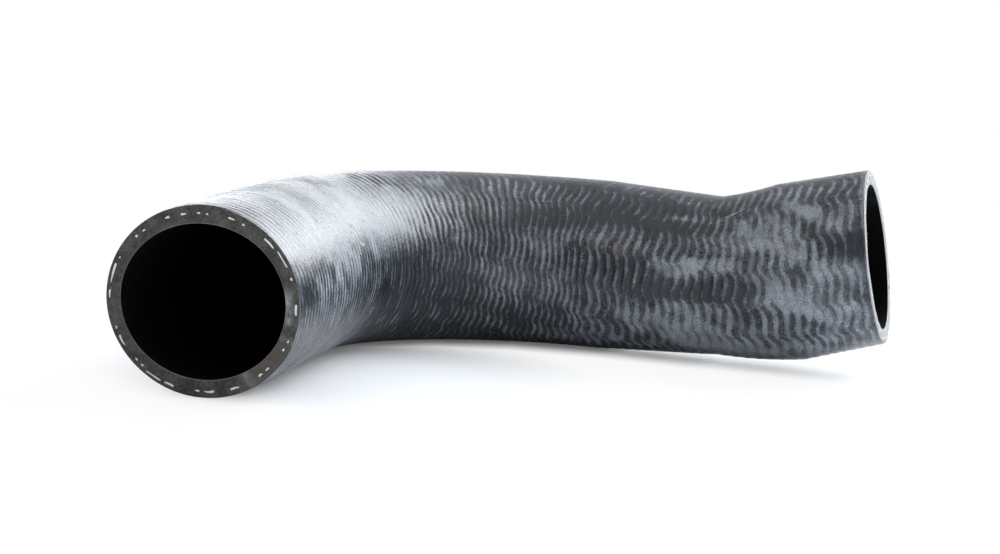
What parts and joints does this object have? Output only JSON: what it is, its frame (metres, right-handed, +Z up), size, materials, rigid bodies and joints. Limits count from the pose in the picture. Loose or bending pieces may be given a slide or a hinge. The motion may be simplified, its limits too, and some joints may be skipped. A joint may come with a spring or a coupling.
{
  "type": "radiator hose",
  "caption": "Bent moulded rubber coolant hose with a slim waist, a belled end that kicks upwards and fine wrap ribs.",
  "frame": {"origin": "under the middle of the object's box, on the surface that the hose lies on", "axes": "+Z up, +X along the hose's longer side towards the belled rear mouth, front mouth towards -Y"},
  "size_m": [0.2596, 0.2044, 0.0728],
  "materials": {
    "rubber": "satin black rubber with fine wrap ribs and a chalky bloom"
  },
  "bodies": {
    "root": {"hose": "rubber"}
  },
  "joints": []
}
